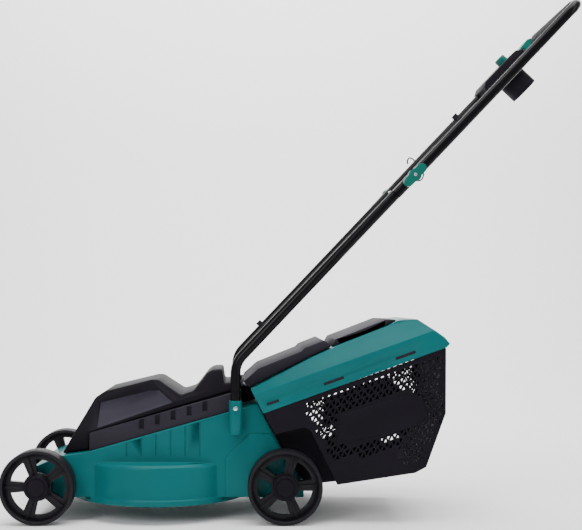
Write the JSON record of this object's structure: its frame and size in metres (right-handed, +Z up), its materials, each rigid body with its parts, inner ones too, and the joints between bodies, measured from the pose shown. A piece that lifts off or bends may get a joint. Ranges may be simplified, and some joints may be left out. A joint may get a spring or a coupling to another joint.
{
  "type": "push lawn mower",
  "caption": "Corded electric rotary push mower with a folding tube handle, spoked wheels, rear flap and a lift-off grass box.",
  "frame": {"origin": "middle of the bounding box's underside, on the ground that the wheels stand on", "axes": "+X to the rear, where the user walks; +Y to the mower's right; +Z up"},
  "size_m": [1.1027, 0.3934, 0.997],
  "materials": {
    "teal_plastic": "moulded, satin gloss",
    "teal_controls": "moulded, satin gloss",
    "black_plastic": "moulded, fine texture",
    "grey_plastic": "moulded, fine texture",
    "black_tube": "gloss powder coat",
    "grip_rubber": "foamed, dull",
    "cable_sheath": "PVC sheath",
    "zinc_steel": "zinc plated",
    "bright_steel": "bright",
    "cast_alloy": "as cast",
    "winding_copper": "varnished windings",
    "wheel_plastic": "moulded"
  },
  "bodies": {
    "chassis": {"deck_shell": "teal_plastic", "cover_band": "grey_plastic", "motor_cover": "black_plastic", "handle_socket_left": "teal_plastic", "handle_socket_right": "teal_plastic", "socket_screw_left": "bright_steel", "socket_screw_right": "bright_steel", "motor_can": "zinc_steel", "motor_end_cap": "cast_alloy", "bearing_lower": "bright_steel", "bearing_upper": "bright_steel", "front_axle": "bright_steel", "rear_axle": "bright_steel", "axle_bush_front_left": "black_plastic", "axle_bush_front_right": "black_plastic", "axle_bush_rear_left": "black_plastic", "axle_bush_rear_right": "black_plastic", "lower_tube_left": "black_tube", "lower_tube_right": "black_tube", "pivot_bolt_left": "bright_steel", "pivot_bolt_right": "bright_steel", "lower_cable": "cable_sheath", "cable_gland": "black_plastic", "cable_clip_lower": "black_plastic", "flap_hinge_pin": "bright_steel"},
    "rotor": {"motor_shaft": "bright_steel", "armature": "winding_copper", "blade_fan": "black_plastic", "blade": "bright_steel", "blade_washer": "zinc_steel", "blade_bolt": "bright_steel"},
    "rear_flap": {"rear_flap": "grey_plastic"},
    "grass_box": {"box_lid": "teal_plastic", "box_basket": "black_plastic", "box_handle": "grey_plastic"},
    "upper_handle": {"handle_bow": "black_tube", "grip": "grip_rubber", "switch_box_top": "black_plastic", "switch_box_bottom": "black_plastic", "inlet_shroud": "black_plastic", "inlet_pins": "black_plastic", "micro_switch": "black_plastic", "lever_pin": "bright_steel", "upper_cable": "cable_sheath", "cable_clip_upper": "black_plastic", "cable_hook": "black_tube"},
    "switch_lever": {"switch_lever": "teal_controls"},
    "safety_button": {"safety_button": "teal_controls"},
    "knob_left": {"knob_left": "teal_controls"},
    "knob_right": {"knob_right": "teal_controls"},
    "wheel_front_left": {"wheel_front_left": "wheel_plastic", "hub_cap_front_left": "black_plastic"},
    "wheel_front_right": {"wheel_front_right": "wheel_plastic", "hub_cap_front_right": "black_plastic"},
    "wheel_rear_left": {"wheel_rear_left": "wheel_plastic", "hub_cap_rear_left": "black_plastic"},
    "wheel_rear_right": {"wheel_rear_right": "wheel_plastic", "hub_cap_rear_right": "black_plastic"}
  },
  "joints": [
    {"name": "blade_spin", "type": "hinge", "parent": "chassis", "child": "rotor", "pos_m": [-0.26035, 0, 0.0705], "axis": [0, 0, 1], "continuous": true},
    {"name": "flap_hinge", "type": "hinge", "parent": "chassis", "child": "rear_flap", "pos_m": [-0.09034, 0, 0.2605], "axis": [0, -1, 0], "range_deg": [0, 40], "stiffness_Nm_per_rad": 0.05},
    {"name": "box_slide", "type": "slide", "parent": "chassis", "child": "grass_box", "axis": [1, 0, 0], "range_m": [0, 0.4]},
    {"name": "handle_fold", "type": "hinge", "parent": "chassis", "child": "upper_handle", "pos_m": [0.22601, 0, 0.65481], "axis": [0, -1, 0], "range_deg": [0, 172]},
    {"name": "lever_pull", "type": "hinge", "parent": "upper_handle", "child": "switch_lever", "pos_m": [0.50163, 0, 0.95324], "axis": [0, -1, 0], "range_deg": [0, 12], "stiffness_Nm_per_rad": 0.6, "springref_deg": -11.46},
    {"name": "button_press", "type": "slide", "parent": "upper_handle", "child": "safety_button", "axis": [0.7254, 0, -0.6884], "range_m": [0, 0.005], "stiffness_N_per_m": 400, "springref_m": -0.002},
    {"name": "knob_left_turn", "type": "hinge", "parent": "chassis", "child": "knob_left", "pos_m": [0.22601, -0.1783, 0.65481], "axis": [0, 1, 0], "continuous": true},
    {"name": "knob_right_turn", "type": "hinge", "parent": "chassis", "child": "knob_right", "pos_m": [0.22601, 0.1783, 0.65481], "axis": [0, 1, 0], "continuous": true},
    {"name": "wheel_front_left_roll", "type": "hinge", "parent": "chassis", "child": "wheel_front_left", "pos_m": [-0.48085, -0.158, 0.0705], "axis": [0, 1, 0], "continuous": true},
    {"name": "wheel_front_right_roll", "type": "hinge", "parent": "chassis", "child": "wheel_front_right", "pos_m": [-0.48085, 0.158, 0.0705], "axis": [0, 1, 0], "continuous": true},
    {"name": "wheel_rear_left_roll", "type": "hinge", "parent": "chassis", "child": "wheel_rear_left", "pos_m": [-0.01434, -0.158, 0.0705], "axis": [0, 1, 0], "continuous": true},
    {"name": "wheel_rear_right_roll", "type": "hinge", "parent": "chassis", "child": "wheel_rear_right", "pos_m": [-0.01434, 0.158, 0.0705], "axis": [0, 1, 0], "continuous": true}
  ]
}
